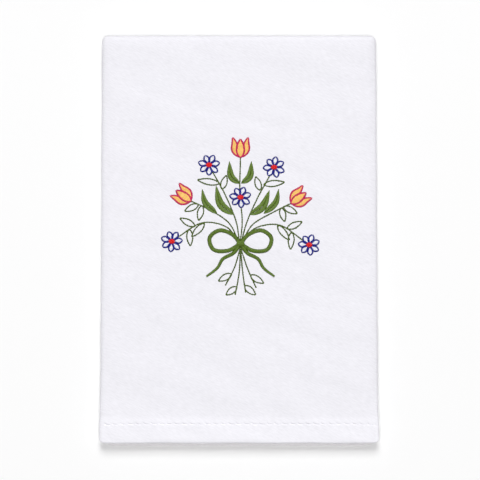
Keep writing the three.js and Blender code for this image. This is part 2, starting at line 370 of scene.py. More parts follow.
def sewn_dents(u, w, sewn_spots):
    """How far the cloth is drawn down near what is sewn on it."""
    dents = np.zeros(len(u))
    for k in np.flatnonzero(np.hypot(u - POSY_U, w - POSY_W) < POSY_REACH):
        distance = sewn_spots.find((u[k], w[k], 0))[2]
        dents[k] = DENT_DEPTH * math.exp(-distance / DENT_REACH)
    return dents


# The towel's mesh

# Lines round a free edge, and how far from the edge, the folds and the end their spacing changes
ROUND_LINES = 4
PAST_ROUND = 1.2 * MM
EDGE_MARGIN = 2.5 * MM
SIDE_MARGIN = 6 * MM
TURN_MARGIN = 12 * MM
HEM_MARGIN = HEM_DEPTH + HEM_EASE

# The mesh's lines across and along, in stretches: where each one ends, and its step
LINES_ACROSS = (
    (FOLDS_U[1] - SIDE_MARGIN, 9 * MM),
    (FOLDS_U[1], 2 * MM),
    (FOLDS_U[2], 0.6 * MM),
    (FOLDS_U[2] + SIDE_MARGIN, 1.5 * MM),
    (FOLDS_U[3] - SIDE_MARGIN, 4 * MM),
    (FOLDS_U[3], 1.5 * MM),
    (FOLDS_U[4], 0.35 * MM),
    (FOLDS_U[4] + SIDE_MARGIN, 2 * MM),
    (FOLDS_U[5] - EDGE_MARGIN, 9 * MM),
)
LINES_ALONG = (
    (HEM_MARGIN, 2.5 * MM),
    (FRONT_LENGTH - TURN_MARGIN, 4 * MM),
    (FRONT_LENGTH, 2 * MM),
    (FRONT_LENGTH + TURN, 0.9 * MM),
    (FRONT_LENGTH + TURN + TURN_MARGIN, 3 * MM),
    (CLOTH_LENGTH - HEM_MARGIN, 12 * MM),
    (CLOTH_LENGTH - EDGE_MARGIN, 2.5 * MM),
)

# How many ways a cell is split: on the upper face, in its hem and under the posy, and at the hem's stitches
FACE_SPLITS = 2
FINE_SPLITS = 4
FINEST = 8


def between(start, end, step):
    """Places from start to end, about a step apart, without the last one."""
    count = max(1, round((end - start) / step))
    return [start + (end - start) * i / count for i in range(count)]


def lattice_lines(length, stretches):
    """Places from one free edge of the cloth to the other."""
    turns = [PI / 2 * i / ROUND_LINES for i in range(ROUND_LINES)]
    edge = [EDGE_ROUND * (1 - math.cos(turn)) for turn in turns] + [EDGE_ROUND, PAST_ROUND]
    lines = list(edge)
    start = EDGE_MARGIN
    for end, step in stretches:
        lines += between(start, end, step)
        start = end
    return np.array(lines + [length - EDGE_MARGIN] + [length - inward for inward in reversed(edge)])


def graded_grid(lines_u, lines_w, splits):
    """A flat grid whose cells are split 1, 2, 4 or 8 ways each side.

    Gives each corner's number by its place in the finest lattice, the corners' u and w, and the faces. A face
    beside a finer cell takes in that cell's corners, so the grid has no gaps.
    """
    count_u = len(lines_u) - 1
    count_w = len(lines_w) - 1
    index = {}
    faces = []

    def corner(i, j):
        return index.setdefault((i, j), len(index))

    def side(start, end, step):
        """Lattice places from start to end, without the last one."""
        (i0, j0), (i1, j1) = start, end
        steps = max(abs(i1 - i0), abs(j1 - j0)) // step
        return [(i0 + (i1 - i0) * k // steps, j0 + (j1 - j0) * k // steps) for k in range(steps)]

    def finer(i, j, own):
        """The step along a side shared with the cell at i and j."""
        inside = 0 <= i < count_u and 0 <= j < count_w
        return min(own, FINEST // splits[i, j]) if inside else own

    for i in range(count_u):
        for j in range(count_w):
            step = FINEST // splits[i, j]
            low_u, low_w = i * FINEST, j * FINEST
            high_u, high_w = low_u + FINEST, low_w + FINEST
            beside = ((i, j - 1), (i + 1, j), (i, j + 1), (i - 1, j))
            steps = [finer(*cell, step) for cell in beside]
            for a in range(low_u, high_u, step):
                for b in range(low_w, high_w, step):
                    c, d = a + step, b + step
                    ring = side((a, b), (c, b), steps[0] if b == low_w else step)
                    ring += side((c, b), (c, d), steps[1] if c == high_u else step)
                    ring += side((c, d), (a, d), steps[2] if d == high_w else step)
                    ring += side((a, d), (a, b), steps[3] if a == low_u else step)
                    faces.append([corner(*spot) for spot in ring])
    lattice = np.array(list(index), float) / FINEST
    u = np.interp(lattice[:, 0], np.arange(count_u + 1), lines_u)
    w = np.interp(lattice[:, 1], np.arange(count_w + 1), lines_w)
    return index, u, w, faces


def cell_splits(lines_u, lines_w, sewn_spots):
    """How many ways each cell of the right side is split."""
    u = (lines_u[:-1] + lines_u[1:])[:, None] / 2
    w = (lines_w[:-1] + lines_w[1:])[None, :] / 2
    front = (u > FOLDS_U[2]) & (u < FOLDS_U[3]) & (w < FRONT_LENGTH) & (w > EDGE_MARGIN)
    hem = front & (w < HEM_MARGIN)
    row = hem & (np.abs(w - STITCH_FROM_END) < STITCH_REACH + MARK_SAG)
    splits = np.where(row, FINEST, np.where(hem, FINE_SPLITS, np.where(front, FACE_SPLITS, 1)))
    for i, j in np.argwhere(np.hypot(u - POSY_U, w - POSY_W) < POSY_REACH):
        if sewn_spots.find((u[i, 0], w[0, j], 0))[2] < SEWN_MARGIN:
            splits[i, j] = FINE_SPLITS
    return splits


def towel_mesh(sewn_spots):
    """The cloth as one closed sheet."""
    lines_u = lattice_lines(FOLDS_U[5], LINES_ACROSS)
    lines_w = lattice_lines(CLOTH_LENGTH, LINES_ALONG)
    splits = cell_splits(lines_u, lines_w, sewn_spots)
    right_index, right_u, right_w, right_faces = graded_grid(lines_u, lines_w, splits)
    wrong_index, wrong_u, wrong_w, wrong_faces = graded_grid(lines_u, lines_w, np.ones_like(splits))
    rims_u = (0, (len(lines_u) - 1) * FINEST)
    rims_w = (0, (len(lines_w) - 1) * FINEST)
    number = np.array([right_index[i, j] if i in rims_u or j in rims_w else -1 for i, j in wrong_index])
    own = number < 0
    number[own] = len(right_u) + np.arange(own.sum())
    right_side = place(right_u, right_w, 1.0)
    right_side[:, 2] += face_relief(right_u, right_w) - sewn_dents(right_u, right_w, sewn_spots)
    points = np.concatenate([right_side, place(wrong_u, wrong_w, -1.0)[own]])
    cloth_uv = np.concatenate([np.stack([right_u, right_w], 1), np.stack([wrong_u, wrong_w], 1)[own]])
    faces = [face[::-1] for face in right_faces] + [[number[k] for k in face] for face in wrong_faces]
    return make_mesh("towel_cloth", points, faces, "cloth", cloth_uv)


def make_mesh(name, points, faces, map_name, map_places):
    """A smooth mesh with a map that is given by vertex."""
    mesh = bpy.data.meshes.new(name)
    mesh.from_pydata(points.tolist(), [], faces)
    mesh.shade_smooth()
    layer = mesh.uv_layers.new(name=map_name)
    corners = np.zeros(len(mesh.loops), int)
    mesh.loops.foreach_get("vertex_index", corners)
    layer.data.foreach_set("uv", map_places[corners].ravel())
    return mesh


def add_object(name, data):
    """A new object in the scene."""
    thing = bpy.data.objects.new(name, data)
    bpy.context.scene.collection.objects.link(thing)
    return thing


# The posy's plan, in millimetres about its middle

# Steps between the stitches of a satin column, of a filled leaf or petal, and along a thin line
SATIN_STEP = 0.38
FILL_STEP = 0.3
BEAN_STEP = 2.1

# How far stitches stand up in their middle
LINE_RISE = 0.22
PETAL_RISE = 0.35
LEAF_RISE = 0.45
RIM_RISE = 0.45
DISC_RISE = 0.7
BOW_RISE = 1.1
KNOT_RISE = 1.3

# How far stitches over others are lifted
DAISY_LIFT = 0.2
DISC_LIFT = 0.35
MIDDLE_PETAL_LIFT = 0.25
KNOT_LIFT = 0.7

# Points from one bend of a line to the next, and how pointed leaves and petals are at both ends
BEND_POINTS = 24
POINTEDNESS = 0.85

# Petals: how full they are, and how wide their rims are
FULLNESS = {"daisy": 1.35, "tulip": 0.8}
RIM_WIDTHS = {"daisy": 1.5, "tulip": 1.7}

# A daisy: its petals' foot, reach and half width, how unevenly long and how bent they are, each with the step
# from petal to petal, and its centre
DAISY_PETALS = 7
DAISY_FOOT = 1.8
DAISY_REACH = 8.8
DAISY_HALF_WIDTH = 2.05
DAISY_UNEVEN = (0.04, 2.4)
DAISY_BEND = (0.3, 3)
DISC_RADIUS = 2.6
DISC_FILLED = 0.94

# A tulip, upwards from its foot: the midlines of its right and middle petals, and half their widths
TULIP_SIDE = ((0.6, 0.2), (4.6, 6), (5.2, 11.5), (6.6, 16.5))
TULIP_MIDDLE = ((0, -0.3), (0, 7), (0, 15))
TULIP_HALF_WIDTHS = (2.7, 3.4)

# The bow: its knot's place, the midlines of its right tail and loop and of its knot, and their widths
KNOT = (0, -25)
BOW_TAIL = ((0, 0), (6, -8), (15, -13), (20, -21), (29, -28))
BOW_LOOP = ((0, 0), (7, 8), (18, 11.5), (26.5, 5), (23, -5), (11, -6), (0, 0))
BOW_KNOT = ((-3.2, 0.4), (0, 0), (3.2, 0.4))
TAIL_WIDTH = 3.4
TAIL_TAPER = 1.6
LOOP_WIDTH = 3.6
KNOT_WIDTH = 6.4
KNOT_TAPER = 1.4

# Flowers' places: x and y, and the turn in radians
DAISIES = ((-27, 43, 0.2), (29, 41, 0.5), (-59, -23, 0.1), (59, -26, 0.35), (0, 15, 0.3))
TULIPS = ((0, 50, 0.0), (-43, 12, 0.95), (44, 10, -0.95))

# Stems: seven that carry flowers, and four cut ends below the bow
STEMS = (
    ((0, -22), (1.5, -5), (-0.5, 20), (0, 49)),
    ((-1, -22), (-4, -5), (-13, 17), (-24, 37)),
    ((1, -22), (6, -5), (15, 15), (26, 35)),
    ((-2, -22), (-10, -7), (-26, 4), (-43, 12)),
    ((2, -22), (11, -8), (28, 2), (44, 10)),
    ((-2, -22), (-13, -10), (-33, -7), (-54, -19.3)),
    ((2, -22), (14, -11), (34, -9), (54, -22.3)),
    ((0, -28), (-5, -45), (-13, -61)),
    ((0, -28), (-1, -49), (-4.5, -69)),
    ((0, -28), (2, -50), (4.5, -67)),
    ((0, -28), (6, -46), (13.5, -63)),
)

# Filled leaves: the line of the midrib, and half the width
SATIN_LEAVES = (
    (((-5.5, 0), (-17, 9), (-21, 25)), 3.6),
    (((8, 0), (19, 7), (25, 21)), 3.6),
    (((-0.5, 27), (-8, 33), (-9.5, 46)), 3.0),
    (((0.5, 27), (8, 33), (9.5, 46)), 3.0),
    (((-20, 1), (-30, 10), (-33, 22)), 2.9),
    (((20, 1), (30, 10), (33, 22)), 2.9),
)

# How full filled leaves are, and how far their stitches slant, as a share of the midrib's length
LEAF_FULLNESS = 0.8
LEAF_SLANT = 0.16

# Open leaves, from base to tip, with half their width, their fullness and the steps along their midline
OPEN_LEAVES = (
    ((-18, 27), (-37, 30)),
    ((-16, 22), (-12, 34)),
    ((20, 26), (38, 28)),
    ((17, 21), (13, 33)),
    ((-33, 8), (-36, -5)),
    ((-36, 9), (-48, 3)),
    ((35, 6), (38, -6)),
    ((37, 7), (49, 1)),
    ((-31, -7.5), (-42, -19)),
    ((-39, -10), (-52, -3)),
    ((-44, -12.5), (-43, -27)),
    ((32, -9), (42, -22)),
    ((40, -12), (53, -6)),
    ((44, -15), (43, -30)),
    ((-7.5, -51), (-19, -57)),
    ((-3, -62), (-12.5, -69)),
    ((8.5, -52), (20, -59)),
    ((3.5, -61), (13, -69)),
)
OPEN_LEAF_HALF_WIDTH = 2.6
OPEN_LEAF_FULLNESS = 0.85
OPEN_LEAF_STEP = 0.5

# The stitches of each piece, in groups that share a rise and a lift
stitches = {}


def sew(piece, starts, ends, rise, lift=0.0):
    """Adds stitches to a piece: how far their middles rise, and how far they are all lifted."""
    stitches.setdefault(piece, []).append((starts, ends, rise, lift))


def evenly(line, step):
    """The same line with its points about a step apart."""
    lengths = np.concatenate([[0], np.cumsum(np.linalg.norm(np.diff(line, axis=0), axis=1))])
    along = np.linspace(0, lengths[-1], max(3, round(lengths[-1] / step) + 1))
    return np.stack([np.interp(along, lengths, line[:, axis]) for axis in (0, 1)], axis=1)


def smooth_line(points, step):
    """A smooth line through a few points."""
    points = np.array(points, float)
    padded = np.concatenate([[2 * points[0] - points[1]], points, [2 * points[-1] - points[-2]]])
    share = np.linspace(0, 1, BEND_POINTS, endpoint=False)[:, None]
    bends = []
    for a, b, c, d in zip(padded, padded[1:], padded[2:], padded[3:]):
        cubic = c - a + share * (2 * a - 5 * b + 4 * c - d + share * (3 * (b - c) + d - a))
        bends.append(b + share / 2 * cubic)
    return evenly(np.concatenate(bends + [points[-1:]]), step)


def left_of(ahead):
    """The directions to the left of those ahead."""
    return unit(np.stack([-ahead[:, 1], ahead[:, 0]], axis=1))


def turned_by(points, angle):
    """The points, turned to the left about the origin."""
    cosine, sine = math.cos(angle), math.sin(angle)
    return np.asarray(points, float) @ np.array([[cosine, sine], [-sine, cosine]])


def leaf_edges(line, half_width, fullness):
    """Both edges of a leaf or petal about its midline; the fuller it is, the nearer its tip it is widest."""
    share = np.linspace(0, 1, len(line))
    half = (half_width * np.sin(PI * share**fullness) ** POINTEDNESS)[:, None]
    side = left_of(np.gradient(line, axis=0))
    return line + side * half, line - side * half


def sew_line(piece, line):
    """A thin line of short stitches."""
    spots = evenly(line, BEAN_STEP)
    sew(piece, spots[:-1], spots[1:], LINE_RISE)


def sew_column(piece, line, width, rise, lift=0.0):
    """Satin stitches across a line."""
    half = (np.broadcast_to(width, len(line)) / 2)[:, None]
    side = left_of(np.gradient(line, axis=0))
    sew(piece, line + side * half, line - side * half, rise, lift)


def sew_leaf(points, half_width):
    """A filled leaf: stitches that slant from its midrib to both edges."""
    line = smooth_line(points, FILL_STEP)
    lead = round(LEAF_SLANT * len(line))
    reach = np.minimum(np.arange(len(line)) + lead, len(line) - 1)
    for edge in leaf_edges(line, half_width, LEAF_FULLNESS):
        sew("satin_leaves", line, edge[reach], LEAF_RISE)


def sew_open_leaf(base, tip):
    """A leaf that is only outlined."""
    midline = smooth_line([base, tip], OPEN_LEAF_STEP)
    for edge in leaf_edges(midline, OPEN_LEAF_HALF_WIDTH, OPEN_LEAF_FULLNESS):
        sew_line("leaf_outlines", edge)


def sew_petal(flower, points, half_width, lift=0.0):
    """A filled petal with a satin rim."""
    left, right = leaf_edges(smooth_line(points, FILL_STEP), half_width, FULLNESS[flower])
    sew(flower + "_petals", left[1:-1], right[1:-1], PETAL_RISE, lift)
    loop = evenly(np.concatenate([left, right[::-1]]), SATIN_STEP)
    sew_column(flower + "_rims", loop, RIM_WIDTHS[flower], RIM_RISE, lift)


def sew_disc(x, y):
    """A daisy's centre: a disc of upright stitches."""
    across = np.arange(-DISC_FILLED * DISC_RADIUS, DISC_FILLED * DISC_RADIUS, FILL_STEP)
    half = np.sqrt(DISC_RADIUS**2 - across**2)
    top = np.stack([x + across, y + half], axis=1)
    foot = np.stack([x + across, y - half], axis=1)
    sew("daisy_centres", top, foot, DISC_RISE, DISC_LIFT)


def sew_daisy(x, y, turn):
    """A daisy whose petals differ a little in length and bend."""
    for number in range(DAISY_PETALS):
        angle = turn + 2 * PI / DAISY_PETALS * number
        reach = DAISY_REACH * (1 + DAISY_UNEVEN[0] * math.sin(DAISY_UNEVEN[1] * number + turn))
        bend = DAISY_BEND[0] * math.sin(DAISY_BEND[1] * number)
        points = [(DAISY_FOOT, 0), ((reach + DAISY_FOOT) / 2, bend), (reach, 0)]
        sew_petal("daisy", turned_by(points, angle) + (x, y), DAISY_HALF_WIDTH, DAISY_LIFT)
    sew_disc(x, y)


def sew_tulip(x, y, angle):
    """A tulip: two side petals, and a middle one over both."""
    for side in (-1, 1):
        placed = turned_by(np.array(TULIP_SIDE) * (side, 1), angle) + (x, y)
        sew_petal("tulip", placed, TULIP_HALF_WIDTHS[0])
    sew_petal("tulip", turned_by(TULIP_MIDDLE, angle) + (x, y), TULIP_HALF_WIDTHS[1], MIDDLE_PETAL_LIFT)


def bow_line(points, side=1):
    """A smooth line of the bow, on its right side or its left."""
    return smooth_line(np.array(points) * (side, 1) + KNOT, SATIN_STEP)


def sew_bow():
    """A bow: two tails, two loops, and a knot over them."""
    for side in (-1, 1):
        tail = bow_line(BOW_TAIL, side)
        share = np.linspace(0, 1, len(tail))
        sew_column("bow", tail, TAIL_WIDTH - TAIL_TAPER * share**2, BOW_RISE)
        sew_column("bow", bow_line(BOW_LOOP, side), LOOP_WIDTH, BOW_RISE)
    knot = bow_line(BOW_KNOT)
    share = np.linspace(-1, 1, len(knot))
    sew_column("bow", knot, KNOT_WIDTH - KNOT_TAPER * share**2, KNOT_RISE, KNOT_LIFT)


def sew_posy():
    """Sews every stem, leaf and flower, and the bow."""
    for stem in STEMS:
        sew_line("stems", smooth_line(stem, BEAN_STEP))
    for leaf in SATIN_LEAVES:
        sew_leaf(*leaf)
    for leaf in OPEN_LEAVES:
        sew_open_leaf(*leaf)
    sew_bow()
    for daisy in DAISIES:
        sew_daisy(*daisy)
    for tulip in TULIPS:
        sew_tulip(*tulip)


# Strands of thread laid on the cloth

# How far strands stray from their plan, and the step that shows which way the cloth faces
STRAND_SEED = 23
STRAND_JITTER = 0.05
NORMAL_STEP = 0.2 * MM

# A strand's sides, and its first corner as a share of a side. Its map labels the corners from just past the
# strand's number to just short of the next
STRAND_SIDES = 5
FIRST_CORNER = 0.25
FIRST_LABEL = 0.1
LABEL_SPAN = 0.8

# Satin: points along a strand, its arch, its section's half width and height, and how far its ends sink
SATIN_POINTS = 7
NARROW_POINTS = 5
ARCH_POWER = 2.2
SATIN_SECTION = (0.23 * MM, 0.14 * MM)
SATIN_SINK = 0.15 * MM
NARROW_PIECES = ("daisy_rims", "tulip_rims")

# Thin lines: the same, and how their three strands lie side by side and draw together at both ends
LINE_POINTS = 5
LINE_SECTION = (0.25 * MM, 0.2 * MM)
LINE_SINK = 0.12 * MM
LINE_SPREAD = 0.38
LINE_GATHER = 0.45
GATHER_POWER = 3
LINE_MIDDLE_LIFT = 0.1
LINE_PIECES = ("stems", "leaf_outlines")

# The hem's stitches: points along a strand, its section, its dive at both ends, and its lift on both faces
HEM_POINTS = 9
HEM_SECTION = (0.24 * MM, 0.13 * MM)
HEM_DIVE = 0.3 * MM
DIVE_POWER = 4
UPPER_HEM_LIFT = 0.06 * MM
LOWER_HEM_LIFT = 0.03 * MM


def cloth_normal(u, w):
    """The way that the right side of the cloth faces."""
    across = place(u + NORMAL_STEP, w, 1.0) - place(u - NORMAL_STEP, w, 1.0)
    along = place(u, w + NORMAL_STEP, 1.0) - place(u, w - NORMAL_STEP, 1.0)
    return unit(np.cross(across, along))


def lay_on_face(u, w, lift, dent):
    """Places over the upper face's relief, and the cloth's facing there."""
    ups = cloth_normal(u, w)
    spots = place(u, w, 1.0) + lift[..., None] * ups
    spots[..., 2] += face_relief(u, w) - dent
    return spots, ups


def strand_mesh(name, spots, ups, section):
    """Strands with closed ends, along the spots and with the ups on top."""
    ahead = np.gradient(spots, axis=1)
    side = unit(np.cross(ahead, ups))
    rise = unit(np.cross(side, ahead))
    angle = 2 * PI * (np.arange(STRAND_SIDES) + FIRST_CORNER) / STRAND_SIDES
    ring_side = section[0] * np.cos(angle)[:, None] * side[:, :, None]
    ring_rise = section[1] * np.sin(angle)[:, None] * rise[:, :, None]
    points = (spots[:, :, None] + ring_side + ring_rise).reshape(-1, 3)
    strands, length = spots.shape[:2]
    number = np.arange(len(points)).reshape(strands, length, STRAND_SIDES)
    ahead_of = number[:, 1:]
    behind = number[:, :-1]
    quads = [behind, np.roll(behind, -1, axis=2), np.roll(ahead_of, -1, axis=2), ahead_of]
    faces = np.stack(quads, axis=-1).reshape(-1, 4).tolist()
    faces += number[:, 0, ::-1].tolist() + number[:, -1].tolist()
    travelled = np.cumsum(np.linalg.norm(np.diff(spots, axis=1, prepend=spots[:, :1]), axis=-1), axis=1)
    from_end = np.minimum(travelled, travelled[:, -1:] - travelled)
    along = np.broadcast_to(from_end[:, :, None], number.shape)
    around = FIRST_LABEL + LABEL_SPAN * np.arange(STRAND_SIDES) / STRAND_SIDES
    label = np.arange(strands)[:, None, None] + np.broadcast_to(around, number.shape)
    return make_mesh(name, points, faces, "strand", np.stack([along, label], axis=-1).reshape(-1, 2))


def arch_at(share):
    """How high a stitch stands this far along it: 0 at its ends and 1 in its middle."""
    return 1 - np.abs(2 * share - 1) ** ARCH_POWER


def satin_strands(piece, rng):
    """Arched strands whose ends sink into the cloth."""
    share = np.linspace(0, 1, NARROW_POINTS if piece in NARROW_PIECES else SATIN_POINTS)
    arch = arch_at(share)
    lines = []
    heights = []
    for starts, ends, rise, lift in stitches[piece]:
        starts = starts + STRAND_JITTER * rng.normal(size=starts.shape)
        ends = ends + STRAND_JITTER * rng.normal(size=ends.shape)
        lines.append(starts[:, None] + share[None, :, None] * (ends - starts)[:, None])
        own_rise = rise * (1 + STRAND_JITTER * rng.normal(size=(len(starts), 1)))
        heights.append((lift + own_rise * arch) * MM - SATIN_SINK * (1 - arch))
    return np.concatenate(lines), np.concatenate(heights)


def line_strands(piece, rng):
    """Three strands side by side for each short stitch."""
    share = np.linspace(0, 1, LINE_POINTS)
    arch = arch_at(share)
    spread = 1 - LINE_GATHER * np.abs(2 * share - 1) ** GATHER_POWER
    lines = []
    heights = []
    for starts, ends, rise, lift in stitches[piece]:
        side = left_of(ends - starts)
        run = starts[:, None] + share[None, :, None] * (ends - starts)[:, None]
        for turn in (-1, 0, 1):
            shift = side * (LINE_SPREAD * turn + STRAND_JITTER * rng.normal(size=(len(starts), 1)))
            lines.append(run + spread[None, :, None] * shift[:, None])
            height = (lift + (rise + LINE_MIDDLE_LIFT * (turn == 0)) * arch) * MM - LINE_SINK * (1 - arch)
            heights.append(np.broadcast_to(height, (len(starts), len(share))))
    return np.concatenate(lines), np.concatenate(heights)


def posy_mesh(piece, rng):
    """The strands of one piece of the posy, laid on the upper face."""
    is_line = piece in LINE_PIECES
    lines, heights = line_strands(piece, rng) if is_line else satin_strands(piece, rng)
    u = POSY_U + lines[..., 0] * MM
    w = POSY_W + lines[..., 1] * MM
    spots, ups = lay_on_face(u, w, heights, DENT_DEPTH)
    return strand_mesh(piece, spots, ups, LINE_SECTION if is_line else SATIN_SECTION)


def sewn_tree():
    """Every stitch's ends and middle, for finding how near the posy is."""
    sewn = [group for groups in stitches.values() for group in groups]
    starts = np.concatenate([group[0] for group in sewn])
    ends = np.concatenate([group[1] for group in sewn])
    spots = np.concatenate([starts, (starts + ends) / 2, ends]) * MM + (POSY_U, POSY_W)
    tree = KDTree(len(spots))
    for number, (u, w) in enumerate(spots):
        tree.insert((u, w, 0), number)
    tree.balance()
    return tree


def hem_mesh():
    """The hem's stitches on the upper face, and on the face that the towel lies on."""
    share = np.linspace(0, 1, HEM_POINTS)
    dive = HEM_DIVE * np.abs(2 * share - 1) ** DIVE_POWER
    along = MARK_START / 2 + share * (MARK_LENGTH - MARK_START)
    count = int((MIDDLE_WIDTH - MARK_START) / MARK_PITCH)
    starts = FOLDS_U[2] + MARK_START + MARK_PITCH * np.arange(count)
    u = starts[:, None] + along
    upper, upper_ups = lay_on_face(u, stitch_row(u) + mark_lean(along), UPPER_HEM_LIFT - dive, 0)
    lower_w = np.full_like(u, CLOTH_LENGTH - STITCH_FROM_END)
    lower_ups = cloth_normal(u, lower_w)
    lower = place(u, lower_w, 1.0) + (LOWER_HEM_LIFT - dive)[:, None] * lower_ups
    spots = np.concatenate([upper, lower])
    ups = np.concatenate([upper_ups, lower_ups])
    return strand_mesh("hem_stitches", spots, ups, HEM_SECTION)


# Materials

# Cotton: its colour in linear light, the back hem's painted tint, how much the hems are painted whiter, and
# its finish
COTTON = (0.876, 0.867, 0.917)
# The back hem's tint is painted light: the warm, paler tone of bounced light in the strip that the front half
# shades
BACK_HEM_PAINTED_BOUNCE = (0.9, 0.876, 0.888)
# Both hems are painted whiter: partly for the doubled cloth, partly as painted light on the front hem's lit
# band and the back hem's shaded strip
HEM_WHITER_AND_LIT = 0.04
COTTON_ROUGHNESS = 0.9
COTTON_SPECULAR = 0.25
COTTON_SHEEN = 0.08
SHEEN_ROUGHNESS = 0.5

# Its brushed nap, weave, and mottle: partly the cloth's uneven tone, partly painted shade of faint wrinkles
NAP_ANGLE = math.radians(27)
NAP_SIZE = (5.5 * MM, 0.8 * MM)
NAP_DETAIL = 3
NAP_SHADE = 0.18
NAP_RELIEF = 0.05 * MM
WEAVE_PITCH = 0.55 * MM
WEAVE_RELIEF = 0.012 * MM
MOTTLE_SHADE_SIZE = 24 * MM
MOTTLE_SHADE_DETAIL = 4
MOTTLE_AND_WRINKLE_SHADE = 0.035

# Thread colours by piece, as red, green and blue on a screen
THREAD_COLOURS = {
    "stems": (88, 110, 34),
    "leaf_outlines": (88, 110, 34),
    "satin_leaves": (98, 124, 42),
    "bow": (98, 124, 42),
    "daisy_petals": (244, 244, 250),
    "daisy_rims": (24, 34, 150),
    "daisy_centres": (228, 22, 16),
    "tulip_petals": (255, 204, 112),
    "tulip_rims": (224, 40, 104),
    "hem_stitches": (243, 242, 248),
}

# Thread: its finish, how much strands differ, the painted light and shade along the twist, and how dark the
# painted shade is where strands dive into the cloth
THREAD_ROUGHNESS = 0.4
THREAD_SPREAD = 0.1
TWIST_SHADE = 0.5
PAINTED_END_SHADE = 0.6
PALE_PAINTED_END_SHADE = 0.15
PALE_PIECES = ("daisy_petals", "tulip_petals", "daisy_centres", "hem_stitches")
PAINTED_END_SHADE_REACH = 1.1 * MM
TWIST_LENGTH = 0.8 * MM
TWIST_RELIEF = 0.03 * MM
SCREEN_GAMMA = 2.2


def add_node(tree, kind, **settings):
    """A new node with these settings."""
    made = tree.nodes.new(kind)
    for name, value in settings.items():
        setattr(made, name, value)
    return made


def plug(tree, socket, value):
    """Sets a node's input to a number or colour, or joins it to another node's output."""
    if isinstance(value, bpy.types.NodeSocket):
        tree.links.new(value, socket)
    else:
        socket.default_value = value


def feed(tree, made, **values):
    """Plugs values into a node's inputs by name."""
    for name, value in values.items():
        plug(tree, made.inputs[name.replace("_", " ")], value)


def reckon(tree, operation, *values, kind="ShaderNodeMath"):
    """The result of a math node."""
    made = add_node(tree, kind, operation=operation)
    for socket, value in zip(made.inputs, values):
        plug(tree, socket, value)
    return made.outputs[0]


def scaled(tree, vector, by):
    """A colour or place, multiplied by a number."""
    made = add_node(tree, "ShaderNodeVectorMath", operation="SCALE")
    feed(tree, made, Vector=vector, Scale=by)
    return made.outputs["Vector"]


def plain_material(name, colour, roughness):
    """A material with one colour and roughness, to build on."""
    material = bpy.data.materials.new(name)
    material.use_nodes = True
    shader = material.node_tree.nodes["Principled BSDF"]
    feed(material.node_tree, shader, Base_Color=(*colour, 1), Roughness=roughness)
    return material


def mixed_colour(tree, share, *colours):
    """The first of two colours where the share is 0, and the second where it is 1."""
    made = add_node(tree, "ShaderNodeMix", data_type="RGBA")
    feed(tree, made, Factor=share)
    for socket, colour in zip([put for put in made.inputs if put.type == "RGBA"], colours):
        socket.default_value = (*colour, 1)
    return next(result for result in made.outputs if result.type == "RGBA")


def parts_of(tree, vector):
    """The X, Y and Z parts of a place."""
    made = add_node(tree, "ShaderNodeSeparateXYZ")
    feed(tree, made, Vector=vector)
    return list(made.outputs)


def noise(tree, place_on_cloth, detail):
    """A soft noise about 0."""
    made = add_node(tree, "ShaderNodeTexNoise", noise_dimensions="2D")
    feed(tree, made, Vector=place_on_cloth, Scale=1, Detail=detail)
    return reckon(tree, "SUBTRACT", made.outputs["Fac"], 0.5)


def nap(tree, cloth):
    """Brushed fibres: a fine noise drawn out along the way the cloth was smoothed."""
    turn = add_node(tree, "ShaderNodeVectorRotate", rotation_type="Z_AXIS")
    feed(tree, turn, Vector=cloth, Angle=NAP_ANGLE)
    drawn_out = reckon(tree, "DIVIDE", turn.outputs["Vector"], (*NAP_SIZE, 1), kind="ShaderNodeVectorMath")
    return noise(tree, drawn_out, NAP_DETAIL)


def weave(tree, cloth):
    """A plain weave: -1 to 1, over one thread and under the next, both ways."""
    over = [reckon(tree, "MULTIPLY", part, 2 * PI / WEAVE_PITCH) for part in parts_of(tree, cloth)[:2]]
    return reckon(tree, "MULTIPLY", *[reckon(tree, "SINE", angle) for angle in over])


def hem_mask(tree, from_end):
    """1 in the hem at one end, and 0 farther in."""
    share = add_node(tree, "ShaderNodeMapRange")
    feed(tree, share, Value=from_end, From_Min=HEM_DEPTH + HEM_EASE, From_Max=HEM_DEPTH)
    return share.outputs["Result"]


def cotton_material():
    """Brushed white cotton with a relief of nap and weave, its hems painted whiter and its back hem painted
    with a warm tint of bounced light.
    """
    material = plain_material("white_cotton", COTTON, COTTON_ROUGHNESS)
    tree = material.node_tree
    cloth = add_node(tree, "ShaderNodeUVMap", uv_map="cloth").outputs["UV"]
    along = parts_of(tree, cloth)[1]
    front_hem = hem_mask(tree, along)
    back_hem = hem_mask(tree, reckon(tree, "SUBTRACT", CLOTH_LENGTH, along))
    fibres = nap(tree, cloth)
    # Mottle: partly the cloth's uneven tone, partly painted shade of faint wrinkles
    mottle_and_wrinkle_shade = noise(tree, scaled(tree, cloth, 1 / MOTTLE_SHADE_SIZE), MOTTLE_SHADE_DETAIL)
    shade = reckon(tree, "MULTIPLY_ADD", fibres, NAP_SHADE, 1)
    shade = reckon(tree, "MULTIPLY_ADD", mottle_and_wrinkle_shade, MOTTLE_AND_WRINKLE_SHADE, shade)
    # Painted brightness on both hems, partly for their doubled cloth
    shade = reckon(tree, "MULTIPLY_ADD", reckon(tree, "ADD", front_hem, back_hem), HEM_WHITER_AND_LIT, shade)
    # The back hem's painted warm tint of bounced light
    colour = scaled(tree, mixed_colour(tree, back_hem, COTTON, BACK_HEM_PAINTED_BOUNCE), shade)
    relief = reckon(tree, "MULTIPLY", fibres, NAP_RELIEF)
    relief = reckon(tree, "MULTIPLY_ADD", weave(tree, cloth), WEAVE_RELIEF, relief)
    bump = add_node(tree, "ShaderNodeBump")
    feed(tree, bump, Height=relief, Distance=1)
    shader = tree.nodes["Principled BSDF"]
    feed(tree, shader, Base_Color=colour, Normal=bump.outputs["Normal"])
    feed(tree, shader, Specular_IOR_Level=COTTON_SPECULAR, Sheen_Weight=COTTON_SHEEN)
    feed(tree, shader, Sheen_Roughness=SHEEN_ROUGHNESS)
    return material


